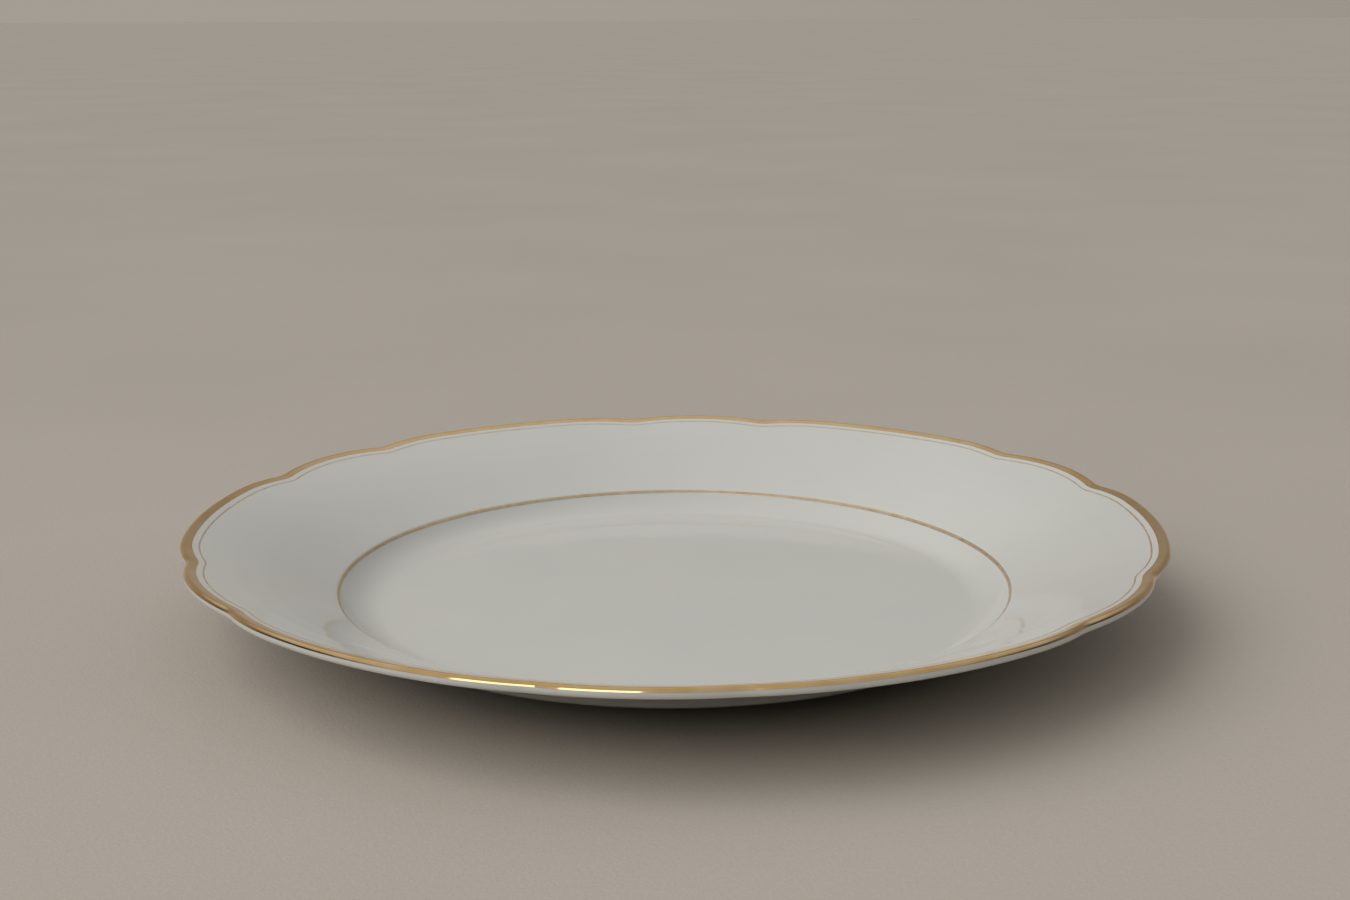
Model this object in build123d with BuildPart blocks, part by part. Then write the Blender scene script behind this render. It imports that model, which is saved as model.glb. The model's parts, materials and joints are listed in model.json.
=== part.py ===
from build123d import *
from math import cos, radians, sin, tan
import os

# China dinner plate with a scalloped rim, millimetres, +Z up.
# The origin is the middle of the table under the plate, so the bare foot ring stands on Z = 0.
# One narrow lobe of the rim points along -Y, towards the diner.

# ---- driving dimensions --------------------------------------------------------------------
RIM_RADIUS = 125.0          # circle that the rim's lobes wander about
PLATE_HEIGHT = 24.95        # table to the top of the lip, on that circle

# the top, from the middle outwards; each radius is where two slopes would meet in a sharp corner
FLOOR_HEIGHT = 3.9          # table to the flat floor of the well
FLOOR_RADIUS = 82.6         # the floor meets the wall
VERGE_RADIUS = 87.3         # the wall meets the rim
BEND_RADIUS = 108.0         # the rim eases off towards the lip
RIM_ANGLE = 26.2            # slope of the rim, degrees
LIP_ANGLE = 17.2            # slope of the rim's outer part, degrees
FLOOR_CORNER_ROUND = 13.5   # hollow corner between floor and wall
SHOULDER_ROUND = 3.0        # shoulder between wall and rim
BEND_ROUND = 130.0

# the underside
EDGE_THICKNESS = 2.4        # measured straight down at the edge of the untrimmed rim
BEND_THICKNESS = 2.8        # measured straight down at the bend
RIM_THICKNESS = 2.6         # measured straight down where the rim meets the wall underneath
LIP_TOP_ROUND = 1.0
LIP_BOTTOM_ROUND = 1.2
UNDER_VERGE_RADIUS = 88.5   # the rim meets the wall underneath
UNDER_VERGE_ROUND = 3.0
BELLY_RADIUS = 86.9         # the wall meets the belly that runs in to the foot
BELLY_HEIGHT = 5.7
BELLY_ROUND = 4.5
BASE_THICKNESS = 2.7        # floor of the well
FOOT_INNER_RADIUS = 69.5    # bare ring that stands on the table
FOOT_OUTER_RADIUS = 73.0
FOOT_STEP = 1.0             # height of the foot ring outside
FOOT_DRAFT = 0.5            # how far each side of the foot ring leans
FOOT_ROUND = 0.6

LOBE_COUNT = 6              # narrow lobes, with as many wide lobes between them
NARROW_HALF_ANGLE = 10.0    # from the middle of a narrow lobe to a notch
WIDE_HALF_ANGLE = 20.0      # from the middle of a wide lobe to a notch
PLATEAU_HALF_ANGLE = 11.0   # the long round middle of a wide lobe
CROWN_RISE = 0.5            # tip of a narrow lobe, outside the rim radius
PLATEAU_RISE = 0.4          # middle of a wide lobe, outside the rim radius
NOTCH_DEPTH = 1.75          # bottom of a notch before rounding, inside the rim radius
NOTCH_ROUND = 16.0

GLAZE_THICKNESS = 0.25
GLAZE_STOP_HEIGHT = 0.6     # the glaze ends this far above the table, so the foot stays bare

GOLD_THICKNESS = 0.10
EDGE_BAND_WIDTH = 3.0       # gilding on the top of the lip, measured from the outline
EDGE_BAND_DROP = 1.1        # how far the gilding comes down the outside of the lip
HAIRLINE_INSET = 4.65       # from the outline to the middle of the thin line
HAIRLINE_WIDTH = 0.4
VERGE_LINE_RADIUS = 86.85   # just inside the shoulder, on the steep wall
VERGE_LINE_WIDTH = 0.65     # seen from straight above

# ---- worked out from them ------------------------------------------------------------------
RIM_SLOPE = tan(radians(RIM_ANGLE))
LIP_SLOPE = tan(radians(LIP_ANGLE))
BLANK_RADIUS = RIM_RADIUS + 8
BLANK_HEIGHT = PLATE_HEIGHT + (BLANK_RADIUS - RIM_RADIUS) * LIP_SLOPE
BEND_HEIGHT = PLATE_HEIGHT - (RIM_RADIUS - BEND_RADIUS) * LIP_SLOPE
VERGE_HEIGHT = BEND_HEIGHT - (BEND_RADIUS - VERGE_RADIUS) * RIM_SLOPE
UNDER_VERGE_HEIGHT = BEND_HEIGHT - (BEND_RADIUS - UNDER_VERGE_RADIUS) * RIM_SLOPE - RIM_THICKNESS
RECESS_HEIGHT = FLOOR_HEIGHT - BASE_THICKNESS
LIP_MIDDLE = PLATE_HEIGHT - EDGE_THICKNESS / 2
TOP = BLANK_HEIGHT + 2
HAIRLINE_CUT = PLATE_HEIGHT - 2.8       # a level between the top and the underside at each line
VERGE_LINE_CUT = FLOOR_HEIGHT + 3

# half of the cross-section, from the axis out to a blank rim that is trimmed to the outline
UPPER_CORNERS = [
    (0, FLOOR_HEIGHT),
    (FLOOR_RADIUS, FLOOR_HEIGHT),
    (VERGE_RADIUS, VERGE_HEIGHT),
    (BEND_RADIUS, BEND_HEIGHT),
    (BLANK_RADIUS, BLANK_HEIGHT),
]
UPPER_ROUNDS = [FLOOR_CORNER_ROUND, SHOULDER_ROUND, BEND_ROUND]
LOWER_CORNERS = [
    (0, RECESS_HEIGHT),
    (FOOT_INNER_RADIUS - FOOT_DRAFT, RECESS_HEIGHT),
    (FOOT_INNER_RADIUS, 0),
    (FOOT_OUTER_RADIUS, 0),
    (FOOT_OUTER_RADIUS + FOOT_DRAFT, FOOT_STEP),
    (BELLY_RADIUS, BELLY_HEIGHT),
    (UNDER_VERGE_RADIUS, UNDER_VERGE_HEIGHT),
    (BEND_RADIUS, BEND_HEIGHT - BEND_THICKNESS),
    (BLANK_RADIUS, BLANK_HEIGHT - EDGE_THICKNESS),
]
LOWER_ROUNDS = [FOOT_ROUND] * 4 + [BELLY_ROUND, UNDER_VERGE_ROUND, BEND_ROUND]


def polar(radius, angle):
    """A point on the outline's plane, from its radius and its angle in degrees."""
    return (radius * cos(radians(angle)), radius * sin(radians(angle)))


def scallops(inset=0.0):
    """The rim's outline, pulled in towards the middle by inset, as a sketch on the plane XY."""
    notch = RIM_RADIUS - NOTCH_DEPTH - inset
    crown = RIM_RADIUS + CROWN_RISE - inset
    plateau = RIM_RADIUS + PLATEAU_RISE - inset
    pitch = 360.0 / LOBE_COUNT
    with BuildSketch() as outline:
        with BuildLine():
            for lobe in range(LOBE_COUNT):
                narrow = lobe * pitch - 90.0
                wide = narrow + pitch / 2
                before = polar(notch, narrow - NARROW_HALF_ANGLE)
                after = polar(notch, narrow + NARROW_HALF_ANGLE)
                next_notch = polar(notch, wide + WIDE_HALF_ANGLE)
                ThreePointArc(before, polar(crown, narrow), after)
                middle = CenterArc((0, 0), plateau, wide - PLATEAU_HALF_ANGLE, 2 * PLATEAU_HALF_ANGLE)
                TangentArc(middle @ 0, after, tangent=(middle % 0) * -1)
                TangentArc(middle @ 1, next_notch, tangent=middle % 1)
        make_face()
        notches = [v for v in outline.vertices() if (Vector(v.X, v.Y, 0).length < notch + 0.01)]
        fillet(notches, NOTCH_ROUND)
    return outline.sketch


def section(grow=0.0):
    """Half of the plate's cross-section, from the axis out past the rim, with every surface
    moved outwards by grow."""
    with BuildSketch(Plane.XZ) as half:
        with BuildLine():
            upper = FilletPolyline(*UPPER_CORNERS, radius=UPPER_ROUNDS)
            lower = FilletPolyline(*LOWER_CORNERS, radius=LOWER_ROUNDS)
            Line(upper @ 0, lower @ 0)
            Line(upper @ 1, lower @ 1)
        make_face()
        mirror(about=Plane.YZ)
        offset(amount=grow)
        Rectangle(BLANK_RADIUS - 1, 2 * TOP, align=(Align.MIN, Align.CENTER), mode=Mode.INTERSECT)
    return half.sketch


def plate_form(grow=0.0):
    """The whole plate as one closed form, every surface moved outwards by grow."""
    with BuildPart() as form:
        add(section(grow))
        revolve(axis=Axis.Z)
        with BuildSketch():
            add(scallops(inset=-grow))
        extrude(amount=TOP, mode=Mode.INTERSECT)
        walls = form.faces().filter_by(lambda face: abs(face.normal_at().Z) < 0.01)
        corners = walls.edges().filter_by(Axis.Z, reverse=True)
        fillet(corners.filter_by(lambda edge: (edge @ 0.5).Z > LIP_MIDDLE), LIP_TOP_ROUND + grow)
        walls = form.faces().filter_by(lambda face: abs(face.normal_at().Z) < 0.01)
        corners = walls.edges().filter_by(Axis.Z, reverse=True)
        fillet(corners.filter_by(lambda edge: (edge @ 0.5).Z < LIP_MIDDLE), LIP_BOTTOM_ROUND + grow)
    return form.part


def upper_side(drop):
    """All the space over the plate, down to a surface that runs drop below the glazed top."""
    sunk = [(radius, height - drop) for radius, height in UPPER_CORNERS]
    with BuildPart() as space:
        with BuildSketch(Plane.XZ):
            with BuildLine():
                Polyline(*sunk, (BLANK_RADIUS, TOP), (0, TOP), close=True)
            make_face()
        revolve(axis=Axis.Z)
    return space.part


glazed_form = plate_form()
bisque_form = plate_form(-GLAZE_THICKNESS)

# ---- porcelain body: the fired clay under the glaze, bare on the foot ring --------------------
with BuildPart() as foot_ring:
    add(glazed_form)
    with BuildSketch():
        Circle(FOOT_OUTER_RADIUS + 1)
        Circle(FOOT_INNER_RADIUS - 1, mode=Mode.SUBTRACT)
    extrude(amount=GLAZE_STOP_HEIGHT, mode=Mode.INTERSECT)

with BuildPart() as porcelain_body:
    add(bisque_form)
    add(foot_ring.part)

# ---- glaze: one coat over the top, round the lip and down to the foot, one inside the foot ----
with BuildPart() as all_glaze:
    add(glazed_form)
    add(porcelain_body.part, mode=Mode.SUBTRACT)

coats = all_glaze.solids().sort_by(SortBy.VOLUME)

with BuildPart() as base_glaze:
    add(coats[0])

with BuildPart() as glaze_coat:
    add(coats[-1])

# ---- gilding, fired on top of the glaze --------------------------------------------------------
gilded_form = plate_form(GOLD_THICKNESS)

with BuildPart() as edge_gilding:
    add(gilded_form)
    add(glazed_form, mode=Mode.SUBTRACT)
    add(upper_side(EDGE_BAND_DROP), mode=Mode.INTERSECT)
    with BuildSketch():
        add(scallops(inset=EDGE_BAND_WIDTH))
    extrude(amount=TOP, mode=Mode.SUBTRACT)

with BuildPart() as rim_hairline:
    with BuildSketch(Plane.XY.offset(HAIRLINE_CUT)):
        add(scallops(inset=HAIRLINE_INSET - HAIRLINE_WIDTH / 2))
        add(scallops(inset=HAIRLINE_INSET + HAIRLINE_WIDTH / 2), mode=Mode.SUBTRACT)
    extrude(amount=TOP)
    add(gilded_form, mode=Mode.INTERSECT)
    add(glazed_form, mode=Mode.SUBTRACT)

with BuildPart() as verge_line:
    with BuildSketch(Plane.XY.offset(VERGE_LINE_CUT)):
        Circle(VERGE_LINE_RADIUS + VERGE_LINE_WIDTH / 2)
        Circle(VERGE_LINE_RADIUS - VERGE_LINE_WIDTH / 2, mode=Mode.SUBTRACT)
    extrude(amount=TOP)
    add(gilded_form, mode=Mode.INTERSECT)
    add(glazed_form, mode=Mode.SUBTRACT)

# ---- label and write each piece -----------------------------------------------------------------
porcelain_body.part.label = "porcelain_body"
glaze_coat.part.label = "glaze_coat"
base_glaze.part.label = "base_glaze"
edge_gilding.part.label = "edge_gilding"
rim_hairline.part.label = "rim_hairline"
verge_line.part.label = "verge_line"

os.makedirs("parts", exist_ok=True)
for piece in (porcelain_body, glaze_coat, base_glaze, edge_gilding, rim_hairline, verge_line):
    export_step(piece.part, f"parts/{piece.part.label}.step")
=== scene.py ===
import json
from math import atan, cos, pi, radians, sin, tan

import bpy
import numpy as np
from mathutils import Matrix, Vector


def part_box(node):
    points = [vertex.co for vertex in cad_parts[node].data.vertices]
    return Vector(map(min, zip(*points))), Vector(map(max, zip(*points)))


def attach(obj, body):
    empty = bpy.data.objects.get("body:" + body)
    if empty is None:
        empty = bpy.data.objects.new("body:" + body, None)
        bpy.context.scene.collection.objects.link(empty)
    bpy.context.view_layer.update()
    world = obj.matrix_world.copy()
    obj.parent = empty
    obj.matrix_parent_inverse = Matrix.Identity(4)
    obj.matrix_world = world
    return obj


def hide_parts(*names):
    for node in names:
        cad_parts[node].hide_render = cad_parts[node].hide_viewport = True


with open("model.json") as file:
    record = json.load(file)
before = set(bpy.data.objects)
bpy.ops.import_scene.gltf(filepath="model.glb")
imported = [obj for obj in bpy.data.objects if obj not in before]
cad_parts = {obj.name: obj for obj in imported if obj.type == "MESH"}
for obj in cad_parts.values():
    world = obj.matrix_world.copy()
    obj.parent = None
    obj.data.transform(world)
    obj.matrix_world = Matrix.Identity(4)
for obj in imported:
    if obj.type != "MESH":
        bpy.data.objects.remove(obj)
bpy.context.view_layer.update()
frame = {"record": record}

# A china dinner plate: six closed meshes, each in the place of one CAD node.
# The cross-section is worked out once, as corners with rounds, and swept round the axis with the
# scalloped outline taken into account at the lip. Lengths are in metres, +Z is up.

MM = 0.001

# ---- sizes read from the frame ---------------------------------------------------------------
glaze_low, glaze_high = (Vector(corner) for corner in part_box("glaze_coat"))
body_high = Vector(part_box("porcelain_body")[1])
edge_high = Vector(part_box("edge_gilding")[1])
hairline_high = Vector(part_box("rim_hairline")[1])
verge_line_high = Vector(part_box("verge_line")[1])
mounts = {mount["name"]: Vector(mount["pos_m"]) for mount in frame["record"]["mounts"]}

PLATEAU_RISE = 0.4 * MM                         # a wide lobe points along +X
RIM_RADIUS = glaze_high.x - PLATEAU_RISE
CROWN_RISE = -glaze_low.y - RIM_RADIUS          # a narrow lobe points along -Y
FLOOR_HEIGHT = mounts["well_floor"].z
FOOT_MIDDLE = mounts["foot_ring_rest"].x
GLAZE_THICKNESS = glaze_high.x - body_high.x
GLAZE_STOP_HEIGHT = glaze_low.z                 # below this the foot ring is bare
GOLD_OVERHANG = edge_high.x - glaze_high.x      # less than its thickness: it ends above the widest glaze

# ---- the rest of the cross-section -----------------------------------------------------------
FLOOR_RADIUS = 82.6 * MM                        # the floor meets the wall
VERGE_RADIUS = 87.3 * MM                        # the wall meets the rim
BEND_RADIUS = 108.0 * MM                        # the rim eases off towards the lip
RIM_SLOPE = tan(radians(26.2))
LIP_SLOPE = tan(radians(17.2))
FLOOR_CORNER_ROUND = 13.5 * MM                  # hollow corner between floor and wall
SHOULDER_ROUND = 3.0 * MM                       # shoulder between wall and rim
BEND_ROUND = 130.0 * MM

EDGE_THICKNESS = 2.4 * MM                       # straight down at the edge of the untrimmed rim
BEND_THICKNESS = 2.8 * MM                       # straight down at the bend
RIM_THICKNESS = 2.6 * MM                        # straight down where the rim meets the wall underneath
LIP_TOP_ROUND = 1.0 * MM
LIP_BOTTOM_ROUND = 1.2 * MM
UNDER_VERGE_RADIUS = 88.5 * MM                  # the rim meets the wall underneath
UNDER_VERGE_ROUND = 3.0 * MM
BELLY_RADIUS = 86.9 * MM                        # the wall meets the belly that runs in to the foot
BELLY_HEIGHT = 5.7 * MM
BELLY_ROUND = 4.5 * MM
BASE_THICKNESS = 2.7 * MM                       # floor of the well
FOOT_WIDTH = 3.5 * MM                           # bare ring that stands on the table
FOOT_STEP = 1.0 * MM                            # height of the foot ring outside
FOOT_DRAFT = 0.5 * MM                           # how far each side of the foot ring leans
FOOT_ROUND = 0.6 * MM

# the lip's top round takes a little off the height that the rim's slope would reach
LIP_ROUND_LOSS = LIP_TOP_ROUND * (LIP_SLOPE + 1 / cos(atan(LIP_SLOPE)) - 1)
PLATE_HEIGHT = glaze_high.z - CROWN_RISE * LIP_SLOPE + LIP_ROUND_LOSS
BLANK_RADIUS = RIM_RADIUS + 8 * MM
BLANK_HEIGHT = PLATE_HEIGHT + (BLANK_RADIUS - RIM_RADIUS) * LIP_SLOPE
BEND_HEIGHT = PLATE_HEIGHT - (RIM_RADIUS - BEND_RADIUS) * LIP_SLOPE
VERGE_HEIGHT = BEND_HEIGHT - (BEND_RADIUS - VERGE_RADIUS) * RIM_SLOPE
UNDER_VERGE_HEIGHT = BEND_HEIGHT - (BEND_RADIUS - UNDER_VERGE_RADIUS) * RIM_SLOPE - RIM_THICKNESS
RECESS_HEIGHT = FLOOR_HEIGHT - BASE_THICKNESS

# ---- scallops: narrow and wide lobes in turn, with a soft notch between them -------------------
LOBE_PITCH = radians(60.0)
FIRST_NARROW = radians(-90.0)
NARROW_HALF = radians(10.0)
WIDE_HALF = radians(20.0)
PLATEAU_HALF = radians(11.0)
NOTCH_RADIUS = RIM_RADIUS - 1.75 * MM           # bottom of a notch before it is softened
NOTCH_BLEND = 1.1 * MM                          # arcs closer than this at a notch are blended

# ---- gilding: a film fired on top of the glaze -------------------------------------------------
GOLD_THICKNESS = 0.35 * GOLD_OVERHANG           # thinner than in CAD, so the film stays inside its box
HAIRLINE_WIDTH = 0.4 * MM
HAIRLINE_INSET = glaze_high.x - hairline_high.x + HAIRLINE_WIDTH / 2
VERGE_LINE_WIDTH = 0.65 * MM
VERGE_LINE_RADIUS = verge_line_high.x - VERGE_LINE_WIDTH / 2
EDGE_BAND_WIDTH = 3.0 * MM                      # on the top of the lip, measured from the outline
EDGE_BAND_DROP = 1.1 * MM                       # how far it comes down the outside of the lip
HAND_WOBBLE = 0.06 * MM                         # a painted line wanders this much from true

ANGLE_STEPS = 900
angles = np.linspace(0, 2 * pi, ANGLE_STEPS, endpoint=False)


def arc_radius(crown, notch, half_angle, angle):
    """Radius at angle, from the origin, of the arc through crown at 0 and notch at half_angle."""
    centre = (crown**2 - notch**2) / (2 * (crown - notch * cos(half_angle)))
    rho = crown - centre
    reach = np.clip(angle, 0, LOBE_PITCH / 2)
    return centre * np.cos(reach) + np.sqrt(rho**2 - (centre * np.sin(reach)) ** 2)


def outline(inset=0.0):
    """Radius of the scalloped outline at every angle, pulled in by inset."""
    crown = RIM_RADIUS + CROWN_RISE
    plateau = RIM_RADIUS + PLATEAU_RISE
    turn = (angles - FIRST_NARROW) % LOBE_PITCH
    from_narrow = np.minimum(turn, LOBE_PITCH - turn)
    from_wide = LOBE_PITCH / 2 - from_narrow
    narrow = arc_radius(crown, NOTCH_RADIUS, NARROW_HALF, from_narrow)
    shoulder = from_wide - PLATEAU_HALF
    wide = arc_radius(plateau, NOTCH_RADIUS, WIDE_HALF - PLATEAU_HALF, shoulder)
    overlap = np.clip(1 - np.abs(narrow - wide) / NOTCH_BLEND, 0, None)
    return np.maximum(narrow, wide) + NOTCH_BLEND / 4 * overlap**2 - inset


def rounded(corners, rounds, gap=3 * MM, turn_step=radians(4)):
    """Points along a polyline with rounded corners, and the unit normal to the left at each."""
    corners = [np.array(corner, float) for corner in corners]
    points, normals = [], []

    def put(point, direction):
        points.append(point)
        normals.append(np.array([-direction[1], direction[0]]))

    start = corners[0]
    for index, corner in enumerate(corners[1:], 1):
        direction = (corner - corners[index - 1]) / np.linalg.norm(corner - corners[index - 1])
        last = index == len(corners) - 1
        if last:
            end = corner
        else:
            onward = (corners[index + 1] - corner) / np.linalg.norm(corners[index + 1] - corner)
            cross = direction[0] * onward[1] - direction[1] * onward[0]
            turn = np.arctan2(cross, direction @ onward)
            radius = rounds[index - 1]
            end = corner - direction * radius * tan(abs(turn) / 2)
        count = max(1, int(np.linalg.norm(end - start) / gap))
        for step in range(count + 1):
            put(start + (end - start) * step / count, direction)
        if last:
            break
        side = np.sign(turn)
        centre = end + side * radius * np.array([-direction[1], direction[0]])
        steps = max(3, int(abs(turn) / turn_step))
        for step in range(1, steps):
            swing = turn * step / steps
            along = np.array([
                direction[0] * cos(swing) - direction[1] * sin(swing),
                direction[0] * sin(swing) + direction[1] * cos(swing),
            ])
            put(centre - side * radius * np.array([-along[1], along[0]]), along)
        start = corner + onward * radius * tan(abs(turn) / 2)
    return np.array(points), np.array(normals)


upper_points, upper_normals = rounded(
    [
        (0, FLOOR_HEIGHT),
        (FLOOR_RADIUS, FLOOR_HEIGHT),
        (VERGE_RADIUS, VERGE_HEIGHT),
        (BEND_RADIUS, BEND_HEIGHT),
        (BLANK_RADIUS, BLANK_HEIGHT),
    ],
    [FLOOR_CORNER_ROUND, SHOULDER_ROUND, BEND_ROUND],
    turn_step=radians(2.5),
)
lower_points, lower_normals = rounded(
    [
        (0, RECESS_HEIGHT),
        (FOOT_MIDDLE - FOOT_WIDTH / 2 - FOOT_DRAFT, RECESS_HEIGHT),
        (FOOT_MIDDLE - FOOT_WIDTH / 2, 0),
        (FOOT_MIDDLE + FOOT_WIDTH / 2, 0),
        (FOOT_MIDDLE + FOOT_WIDTH / 2 + FOOT_DRAFT, FOOT_STEP),
        (BELLY_RADIUS, BELLY_HEIGHT),
        (UNDER_VERGE_RADIUS, UNDER_VERGE_HEIGHT),
        (BEND_RADIUS, BEND_HEIGHT - BEND_THICKNESS),
        (BLANK_RADIUS, BLANK_HEIGHT - EDGE_THICKNESS),
    ],
    [FOOT_ROUND] * 4 + [BELLY_ROUND, UNDER_VERGE_ROUND, BEND_ROUND],
    turn_step=radians(7),
)
lower_normals = -lower_normals                  # downwards, out of the porcelain


# ---- rows: the radius and the height of one line round the plate, at every angle ---------------
JOIN_RADIUS = 100 * MM                          # from here out, rows follow the scallops
ROW_CLEARANCE = 1 * MM                          # plain rings keep this far from the axis and the join
FOOT_REACH = 6 * MM                             # the foot's sides lie within this of its middle
RIM_ROWS = 20
ROUND_ROWS = 10
BAND_ROWS = 5                                   # across the flat part of the gold band
SHARP_ANGLE = radians(50)


def ring(radius, height):
    """A row of one radius and one height all the way round."""
    return np.full(ANGLE_STEPS, radius), np.full(ANGLE_STEPS, height)


def surface(points, normals, grow):
    """A profile moved outwards by grow, with its radii in rising order for interpolation."""
    moved = points + grow * normals
    return moved[:, 0], moved[:, 1]


def heights(points, normals, grow, radius):
    """Height of a profile that is moved outwards by grow, at any radius."""
    return np.interp(radius, *surface(points, normals, grow))


def slopes(points, radius):
    """Slope angle of a profile at any radius."""
    reach = 0.5 * MM
    rise = np.interp(radius + reach, *points.T) - np.interp(radius - reach, *points.T)
    return np.arctan2(rise, 2 * reach)


def lip(grow):
    """Rows round the lip, from the end of the rim's top to the start of its underside."""
    edge = outline()
    rows = []
    for points, size, side in ((upper_points, LIP_TOP_ROUND, 1), (lower_points, LIP_BOTTOM_ROUND, -1)):
        middle = edge - size
        tilt = slopes(points, middle)
        centre = np.interp(middle, *points.T) - side * size / np.cos(tilt)
        for step in range(ROUND_ROWS + 1):
            share = step / ROUND_ROWS if side < 0 else 1 - step / ROUND_ROWS
            swing = side * share * (pi / 2 + side * tilt)
            rows.append((middle + (size + grow) * np.cos(swing), centre + (size + grow) * np.sin(swing)))
    return rows


def rim(points, normals, grow, lip_row):
    """Rows over the rim from JOIN_RADIUS out to the row where the lip starts."""
    rows = []
    for step in range(RIM_ROWS):
        radius = JOIN_RADIUS + (lip_row[0] - JOIN_RADIUS) * step / RIM_ROWS
        rows.append((radius, heights(points, normals, grow, radius)))
    return rows


def inner_rows(points, normals, grow, low, high):
    """Rows at a profile's own points, for radii from low to high."""
    radii, levels = surface(points, normals, grow)
    return [ring(r, z) for r, z in zip(radii, levels) if low < r < high]


def side_of_foot(grow, outer):
    """Radius of one side of the foot ring at the height where the glaze stops."""
    radii, levels = surface(lower_points, lower_normals, grow)
    beyond = radii - FOOT_MIDDLE if outer else FOOT_MIDDLE - radii
    keep = (beyond > 0) & (beyond < FOOT_REACH)
    order = np.argsort(levels[keep])
    return np.interp(GLAZE_STOP_HEIGHT, levels[keep][order], radii[keep][order])


def top_rows(grow):
    """Rows from the axis over the well and the rim, round the lip, to the end of the lip."""
    lip_rows = lip(grow)
    rows = [ring(0, FLOOR_HEIGHT + grow)]
    rows += inner_rows(upper_points, upper_normals, grow, ROW_CLEARANCE, JOIN_RADIUS - ROW_CLEARANCE)
    rows += rim(upper_points, upper_normals, grow, lip_rows[0])
    return rows + lip_rows


def under_rows(grow):
    """Rows from the lip in over the underside to the foot ring's side, where the glaze stops."""
    stop = side_of_foot(grow, outer=True)
    rows = rim(lower_points, lower_normals, grow, lip(grow)[-1])[::-1]
    rows += inner_rows(lower_points, lower_normals, grow, stop, JOIN_RADIUS - ROW_CLEARANCE)[::-1]
    return rows + [ring(stop, GLAZE_STOP_HEIGHT)]


def recess_rows(grow):
    """Rows from the foot ring's inner side, where the glaze stops, to the axis underneath."""
    stop = side_of_foot(grow, outer=False)
    rows = [ring(stop, GLAZE_STOP_HEIGHT)]
    rows += inner_rows(lower_points, lower_normals, grow, ROW_CLEARANCE, stop)[::-1]
    return rows + [ring(0, RECESS_HEIGHT - grow)]


def foot_rows():
    """Rows over the bare foot ring, from its outer side to its inner side."""
    low = side_of_foot(0, outer=False)
    high = side_of_foot(0, outer=True)
    rows = [ring(high, GLAZE_STOP_HEIGHT)]
    rows += inner_rows(lower_points, lower_normals, 0, low, high)[::-1]
    return rows + [ring(low, GLAZE_STOP_HEIGHT)]


def sweep(name, rows, material):
    """A closed mesh from rows. A row of radius 0 is a point on the axis; without one, the last
    row joins the first."""
    verts, firsts = [], []
    for radius, height in rows:
        pole = radius[0] == 0
        firsts.append((len(verts), pole))
        spots = zip(radius[:1], height[:1], angles[:1]) if pole else zip(radius, height, angles)
        verts += [(r * cos(a), r * sin(a), z) for r, z, a in spots]
    pairs = list(zip(firsts, firsts[1:]))
    if not firsts[0][1]:
        pairs.append((firsts[-1], firsts[0]))
    faces = []
    for (first, first_pole), (second, second_pole) in pairs:
        for here in range(ANGLE_STEPS):
            after = (here + 1) % ANGLE_STEPS
            if first_pole:
                faces.append((first, second + here, second + after))
            elif second_pole:
                faces.append((first + after, first + here, second))
            else:
                faces.append((first + after, first + here, second + here, second + after))
    mesh = bpy.data.meshes.new(name)
    mesh.from_pydata(verts, [], faces)
    mesh.validate()
    mesh.shade_smooth()
    mesh.set_sharp_from_angle(angle=SHARP_ANGLE)
    piece = bpy.data.objects.new(name, mesh)
    bpy.context.collection.objects.link(piece)
    mesh.materials.append(material)
    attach(piece, "root")
    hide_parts(name)
    return piece


def film(rows):
    """Closes a painted film: its rows on the outside, then the same line on the glaze."""
    over = [row for row, _ in rows]
    under = [row for _, row in rows]
    return over + under[::-1]


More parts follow.
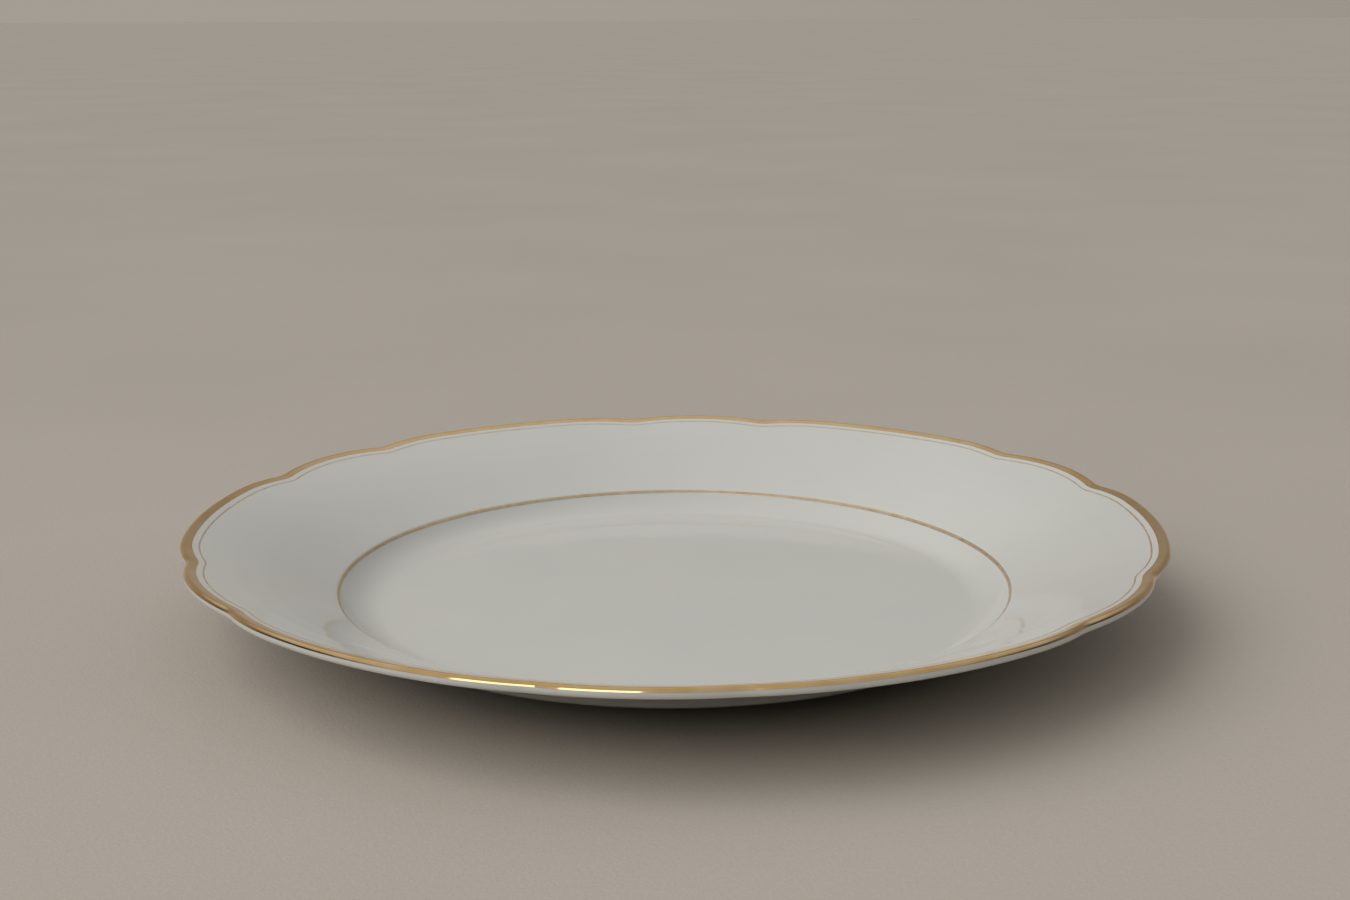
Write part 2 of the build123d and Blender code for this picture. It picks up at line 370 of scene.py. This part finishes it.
# ---- materials ---------------------------------------------------------------------------------
class Look:
    """A material and short ways to add nodes to it. Patterns are laid out in metres."""

    def __init__(self, name):
        self.material = bpy.data.materials.new(name)
        self.material.use_nodes = True
        tree = self.material.node_tree
        self.nodes = tree.nodes
        self.links = tree.links
        self.shader = self.nodes["Principled BSDF"]
        self.place = self.nodes.new("ShaderNodeTexCoord").outputs["Object"]

    def set(self, **values):
        """Uniform values of the shader's sockets, by socket name with _ for each space."""
        for name, value in values.items():
            self.shader.inputs[name.replace("_", " ")].default_value = value

    def link(self, output, name):
        """Feeds a node's output to one of the shader's sockets."""
        self.links.new(output, self.shader.inputs[name])

    def stretched(self, turn, scale):
        """Coordinates turned about the vertical and scaled along each axis."""
        mapping = self.nodes.new("ShaderNodeMapping")
        mapping.inputs["Rotation"].default_value = (0, 0, turn)
        mapping.inputs["Scale"].default_value = scale
        self.links.new(self.place, mapping.inputs["Vector"])
        return mapping.outputs["Vector"]

    def noise(self, feature, detail=2.0, place=None):
        """Noise whose lumps are about feature metres across."""
        noise = self.nodes.new("ShaderNodeTexNoise")
        noise.inputs["Scale"].default_value = 1 / feature
        noise.inputs["Detail"].default_value = detail
        self.links.new(place or self.place, noise.inputs["Vector"])
        return noise.outputs["Fac"]

    def remap(self, value, low, high, to_low, to_high):
        """Value from low..high to to_low..to_high, held inside those ends."""
        node = self.nodes.new("ShaderNodeMapRange")
        for name, number in (("From Min", low), ("From Max", high), ("To Min", to_low), ("To Max", to_high)):
            node.inputs[name].default_value = number
        self.links.new(value, node.inputs["Value"])
        return node.outputs["Result"]

    def math(self, operation, first, second):
        """Arithmetic on two values; either may be a number or another node's output."""
        node = self.nodes.new("ShaderNodeMath")
        node.operation = operation
        for socket, value in zip(node.inputs, (first, second)):
            if isinstance(value, (int, float)):
                socket.default_value = value
            else:
                self.links.new(value, socket)
        return node.outputs["Value"]

    def mix(self, share, first, second, blend="MIX"):
        """Colour between first and second; either may be a colour or another node's output."""
        node = self.nodes.new("ShaderNodeMix")
        node.data_type = "RGBA"
        node.blend_type = blend
        self.links.new(share, node.inputs["Factor"])
        # the colours' sockets share their names with others, so they go by number
        for socket, value in ((node.inputs[6], first), (node.inputs[7], second)):
            if isinstance(value, tuple):
                socket.default_value = (*value, 1)
            else:
                self.links.new(value, socket)
        return node.outputs[2]

    def bump(self, height, depth, below=None):
        """Relief of depth metres, laid over the relief below."""
        node = self.nodes.new("ShaderNodeBump")
        node.inputs["Distance"].default_value = depth
        self.links.new(height, node.inputs["Height"])
        if below is not None:
            self.links.new(below, node.inputs["Normal"])
        return node.outputs["Normal"]

    def distance_from_axis(self):
        """Distance from the plate's axis, in metres."""
        split = self.nodes.new("ShaderNodeSeparateXYZ")
        self.links.new(self.place, split.inputs[0])
        squares = [self.math("POWER", split.outputs[axis], 2.0) for axis in ("X", "Y")]
        return self.math("SQRT", self.math("ADD", *squares), 0.0)

    def knife_marks(self):
        """Fine straight marks left by cutlery, in the flat of the well only."""
        marks = None
        for turn in (0.3, 1.15, 2.2, 2.75):
            place = self.stretched(turn, (0.035, 1.0, 1.0))
            line = self.remap(self.noise(0.9 * MM, 0.0, place), 0.735, 0.76, 0.0, 1.0)
            marks = line if marks is None else self.math("MAXIMUM", marks, line)
        in_well = self.remap(self.distance_from_axis(), 64 * MM, 74 * MM, 1.0, 0.0)
        return self.math("MULTIPLY", marks, in_well)

    def specks(self, cell, size, share):
        """Round specks of size metres, one in some of the cells."""
        cells = self.nodes.new("ShaderNodeTexVoronoi")
        cells.inputs["Scale"].default_value = 1 / cell
        self.links.new(self.place, cells.inputs["Vector"])
        near = self.remap(cells.outputs["Distance"], size / cell / 3, size / cell / 2, 1.0, 0.0)
        split = self.nodes.new("ShaderNodeSeparateColor")
        self.links.new(cells.outputs["Color"], split.inputs[0])
        chosen = self.math("LESS_THAN", split.outputs[0], share)
        return self.math("MULTIPLY", near, chosen)


def glaze_material():
    """Clear glaze over white clay: glossy, faintly uneven, with fine knife marks in the well."""
    look = Look("clear_glaze_on_white_porcelain")
    look.set(IOR=1.5)
    slow = look.remap(look.noise(45 * MM, 3), 0.3, 0.7, 0, 1)
    tone = look.mix(slow, (0.676, 0.682, 0.658), (0.654, 0.662, 0.642))
    iron = look.specks(9 * MM, 0.35 * MM, 0.012)
    look.link(look.mix(iron, tone, (0.16, 0.11, 0.07)), "Base Color")
    marks = look.knife_marks()
    gloss = look.remap(look.noise(14 * MM, 4), 0.3, 0.7, 0.055, 0.10)
    look.link(look.math("ADD", gloss, look.math("MULTIPLY", marks, 0.12)), "Roughness")
    swell = look.bump(look.noise(22 * MM, 1), 0.10 * MM)
    peel = look.bump(look.noise(2.2 * MM, 1), 0.004 * MM, swell)
    look.link(look.bump(look.math("SUBTRACT", 1.0, marks), 0.006 * MM, peel), "Normal")
    return look.material


def gold_material():
    """Fired gold on the lip, burnished to a soft mirror, a little rubbed in places."""
    look = Look("burnished_gold")
    look.set(Metallic=1.0)
    bright = look.remap(look.noise(8 * MM, 3), 0.35, 0.65, 0, 1)
    tone = look.mix(bright, (0.78, 0.52, 0.23), (0.84, 0.60, 0.31))
    rubbed = look.remap(look.noise(1.3 * MM, 4), 0.68, 0.76, 0, 1)
    look.link(look.mix(rubbed, tone, (0.82, 0.66, 0.44)), "Base Color")
    brushed = look.remap(look.noise(2.5 * MM, 3), 0.3, 0.7, 0.05, 0.12)
    look.link(look.math("ADD", brushed, look.math("MULTIPLY", rubbed, 0.12)), "Roughness")
    look.link(look.bump(look.noise(7 * MM, 2), 0.03 * MM), "Normal")
    return look.material


def line_gold_material():
    """The thin painted lines: the same gold laid thinner, paler and less polished."""
    look = Look("thin_gold")
    thin = look.remap(look.noise(2.5 * MM, 4), 0.35, 0.65, 0, 1)
    look.link(look.mix(thin, (0.72, 0.54, 0.34), (0.73, 0.61, 0.46)), "Base Color")
    look.link(look.remap(thin, 0, 1, 0.85, 0.6), "Metallic")
    look.link(look.remap(look.noise(1.5 * MM, 3), 0.3, 0.7, 0.28, 0.42), "Roughness")
    look.link(look.bump(look.noise(0.5 * MM, 2), 0.002 * MM), "Normal")
    return look.material


def bisque_material():
    """Bare fired porcelain of the foot ring: matt, finely grained, greyed where it has rubbed."""
    look = Look("bare_porcelain")
    grain = look.remap(look.noise(0.5 * MM, 4), 0.3, 0.7, 0, 1)
    tone = look.mix(grain, (0.66, 0.63, 0.57), (0.60, 0.57, 0.51))
    worn = look.remap(look.noise(9 * MM, 5), 0.52, 0.66, 0, 0.8)
    look.link(look.mix(worn, tone, (0.42, 0.39, 0.35)), "Base Color")
    look.link(look.remap(grain, 0, 1, 0.62, 0.82), "Roughness")
    look.link(look.bump(look.noise(0.3 * MM, 3), 0.02 * MM), "Normal")
    return look.material


def floor_material():
    """A plain pale cloth-covered table: a fine weave and slow changes of tone."""
    look = Look("pale_floor")
    look.set(Specular_IOR_Level=0.15, Roughness=0.92)
    slow = look.remap(look.noise(0.22, 3), 0.3, 0.7, 0, 1)
    tone = look.mix(slow, (0.515, 0.475, 0.430), (0.545, 0.503, 0.455))
    thread = look.remap(look.noise(1.2 * MM, 3), 0.3, 0.7, 0, 1)
    look.link(look.mix(thread, tone, (0.965, 0.96, 0.955), blend="MULTIPLY"), "Base Color")
    look.link(look.bump(look.noise(0.8 * MM, 2), 0.10 * MM), "Normal")
    return look.material


glaze = glaze_material()
gold = gold_material()
line_gold = line_gold_material()
bisque = bisque_material()


# ---- the six pieces ----------------------------------------------------------------------------
def build_body():
    """The clay: everything inside the glaze, with the bare foot ring."""
    grow = -GLAZE_THICKNESS
    rows = top_rows(grow) + under_rows(grow) + foot_rows() + recess_rows(grow)
    return sweep("porcelain_body", rows, bisque)


def build_glaze_coat():
    """The glaze over the top, round the lip and in to the outer side of the foot ring."""
    outside = top_rows(0) + under_rows(0)
    inside = top_rows(-GLAZE_THICKNESS) + under_rows(-GLAZE_THICKNESS)
    return sweep("glaze_coat", outside + inside[::-1], glaze)


def build_base_glaze():
    """The glaze under the base, inside the foot ring."""
    outside = recess_rows(0)[::-1]
    inside = recess_rows(-GLAZE_THICKNESS)
    return sweep("base_glaze", outside + inside, glaze)


def wobble(phase):
    """How far a line painted by hand wanders from true, all the way round."""
    return HAND_WOBBLE * (np.sin(3 * angles + phase) + 0.6 * np.sin(7 * angles + 2 * phase)) / 1.6


def top_film_row(radius):
    """A row on the film's outside and the row under it on the glaze, at the same radius."""
    over = (radius, heights(upper_points, upper_normals, GOLD_THICKNESS, radius))
    under = (radius, heights(upper_points, upper_normals, 0, radius))
    return over, under


def build_edge_gilding():
    """The band over the lip: flat rows, then rows round the lip down to where the gold stops."""
    inner = outline() - EDGE_BAND_WIDTH
    over = lip(GOLD_THICKNESS)
    under = lip(0)
    rows = []
    for step in range(BAND_ROWS):
        radius = inner + (over[0][0] - inner) * step / BAND_ROWS
        rows.append(top_film_row(radius))
    rim_height = heights(upper_points, upper_normals, 0, outline())
    stop = rim_height - EDGE_BAND_DROP
    for top, low in zip(over, under):
        if np.all(top[1] > stop):
            rows.append((top, low))
    rows.append(((outline() + GOLD_THICKNESS, stop), (outline(), stop)))
    return sweep("edge_gilding", film(rows), gold)


def build_line(name, middle, width, strips):
    """A thin line painted round the plate, with its middle at the radii given."""
    rows = [top_film_row(middle + width * (step / strips - 0.5)) for step in range(strips + 1)]
    return sweep(name, film(rows), line_gold)


build_body()
build_glaze_coat()
build_base_glaze()
build_edge_gilding()
build_line("rim_hairline", outline(HAIRLINE_INSET) + wobble(1.0), HAIRLINE_WIDTH, strips=2)
build_line("verge_line", VERGE_LINE_RADIUS + wobble(4.0), VERGE_LINE_WIDTH, strips=4)


# ---- floor, lights and camera ------------------------------------------------------------------
# The room in front of the plate and behind it: sine of the elevation, radiance, tint. The lowest part
# behind the plate takes the floor's colour, so that the floor has no visible end in the main view.
ROOM_TINT = (1.0, 0.985, 0.95)
FLOOR_TINT = (1.0, 0.915, 0.805)
FRONT_ROOM = (
    (0.0, 0.05, FLOOR_TINT),
    (0.36, 0.03, ROOM_TINT),
    (0.52, 0.52, ROOM_TINT),
    (1.0, 0.50, ROOM_TINT),
)
BACK_ROOM = (
    (0.0, 0.37, FLOOR_TINT),
    (0.38, 0.30, FLOOR_TINT),
    (0.72, 0.60, ROOM_TINT),
    (1.0, 0.48, ROOM_TINT),
)
RIGHT_SIDE = 0.75                               # brightness of the room on the right, next to the left
BEHIND_FADE = (-0.2, 0.7)                       # Y of a direction, where the back takes over from the front
SIDE_FADE = (-0.3, 0.9)                         # X of a direction, from the left's brightness to the right's
FLOOR_REACH = 30.0                              # metres from the plate to each side of the floor


def build_floor():
    """The table, as one square far larger than the view."""
    mesh = bpy.data.meshes.new("floor")
    corners = [(FLOOR_REACH * x, FLOOR_REACH * y, 0) for x, y in ((-1, -1), (1, -1), (1, 1), (-1, 1))]
    mesh.from_pydata(corners, [], [(0, 1, 2, 3)])
    floor = bpy.data.objects.new("floor", mesh)
    bpy.context.collection.objects.link(floor)
    mesh.materials.append(floor_material())


def towards(bearing, elevation):
    """Unit vector from the plate; bearing in degrees from +X towards +Y."""
    flat = cos(radians(elevation))
    return Vector((flat * cos(radians(bearing)), flat * sin(radians(bearing)), sin(radians(elevation))))


def point_at_plate(lamp, direction):
    """Turns a lamp that lies in a direction from the plate to face it, and adds it."""
    lamp.rotation_euler = (-direction).to_track_quat("-Z", "Y").to_euler()
    bpy.context.collection.objects.link(lamp)


def far_softbox(name, bearing, elevation, spread, radiance, color):
    """A softbox so far away that it lights the whole floor evenly; spread in degrees across."""
    light = bpy.data.lights.new(name, "SUN")
    light.angle = radians(spread)
    light.energy = radiance * pi * sin(radians(spread / 2)) ** 2
    light.color = color
    lamp = bpy.data.objects.new(name, light)
    lamp.visible_glossy = False                 # kept out of reflections, so gold shows no bright disc
    point_at_plate(lamp, towards(bearing, elevation))


def softbox(name, bearing, elevation, distance, size, radiance, color):
    """A rectangular light at a distance from the plate, in metres."""
    light = bpy.data.lights.new(name, "AREA")
    light.shape = "RECTANGLE"
    light.size, light.size_y = size
    light.energy = radiance * pi * size[0] * size[1]
    light.color = color
    lamp = bpy.data.objects.new(name, light)
    direction = towards(bearing, elevation)
    lamp.location = direction * distance
    point_at_plate(lamp, direction)


def build_world():
    """The rest of the room: bright overhead, dim at eye level, paler behind the plate."""
    world = bpy.data.worlds.new("studio")
    bpy.context.scene.world = world
    world.use_nodes = True
    nodes, links = world.node_tree.nodes, world.node_tree.links

    def fade(value, start, end, low, high):
        """From low to high as value goes from start to end, gently at both ends."""
        node = nodes.new("ShaderNodeMapRange")
        node.interpolation_type = "SMOOTHSTEP"
        for name, number in (("From Min", start), ("From Max", end), ("To Min", low), ("To Max", high)):
            node.inputs[name].default_value = number
        links.new(value, node.inputs["Value"])
        return node.outputs["Result"]

    direction = nodes.new("ShaderNodeTexCoord").outputs["Generated"]
    split = nodes.new("ShaderNodeSeparateXYZ")
    links.new(direction, split.inputs[0])
    front = nodes.new("ShaderNodeValToRGB")
    back = nodes.new("ShaderNodeValToRGB")
    for ramp, stops in ((front, FRONT_ROOM), (back, BACK_ROOM)):
        links.new(split.outputs["Z"], ramp.inputs["Fac"])
        ramp.color_ramp.interpolation = "EASE"
        while len(ramp.color_ramp.elements) < len(stops):
            ramp.color_ramp.elements.new(0.5)
        for element, (height, radiance, tint) in zip(ramp.color_ramp.elements, stops):
            element.position = height
            element.color = (*(radiance * channel for channel in tint), 1)
    mix = nodes.new("ShaderNodeMix")
    mix.data_type = "RGBA"
    links.new(fade(split.outputs["Y"], *BEHIND_FADE, 0.0, 1.0), mix.inputs["Factor"])
    links.new(front.outputs["Color"], mix.inputs[6])
    links.new(back.outputs["Color"], mix.inputs[7])
    links.new(mix.outputs[2], nodes["Background"].inputs["Color"])
    strength = fade(split.outputs["X"], *SIDE_FADE, 1.0, RIGHT_SIDE)
    links.new(strength, nodes["Background"].inputs["Strength"])


def build_camera():
    """The photograph's view: about 50 mm on full frame, 13 degrees down, a little to the right."""
    pitch = radians(13.376)
    yaw = radians(-3.631)
    roll = radians(-0.261)
    forward = Vector((sin(yaw) * cos(pitch), cos(yaw) * cos(pitch), -sin(pitch)))
    right = forward.cross(Vector((0, 0, 1))).normalized()
    up = right.cross(forward)
    level_right = right * cos(roll) + up * sin(roll)
    level_up = up * cos(roll) - right * sin(roll)
    data = bpy.data.cameras.new("camera")
    data.sensor_fit = "HORIZONTAL"
    data.sensor_width = 36.0
    data.lens = 49.28
    data.clip_start = 0.01
    camera = bpy.data.objects.new("camera", data)
    place_in_radii = Vector((0.2377, -3.7102, 1.0270))      # from the middle of the rim
    place = place_in_radii * RIM_RADIUS + Vector((0, 0, PLATE_HEIGHT))
    turn = Matrix((level_right, level_up, -forward)).transposed().to_4x4()
    camera.matrix_world = Matrix.Translation(place) @ turn
    bpy.context.collection.objects.link(camera)
    bpy.context.scene.camera = camera


build_floor()
far_softbox("key", -158, 46, 60, 1.45, (1.0, 0.985, 0.955))
softbox("front_left", -112, 30, 1.4, (0.8, 0.55), 1.8, (1.0, 0.96, 0.89))
build_world()
build_camera()
bpy.context.scene.view_settings.view_transform = "Standard"
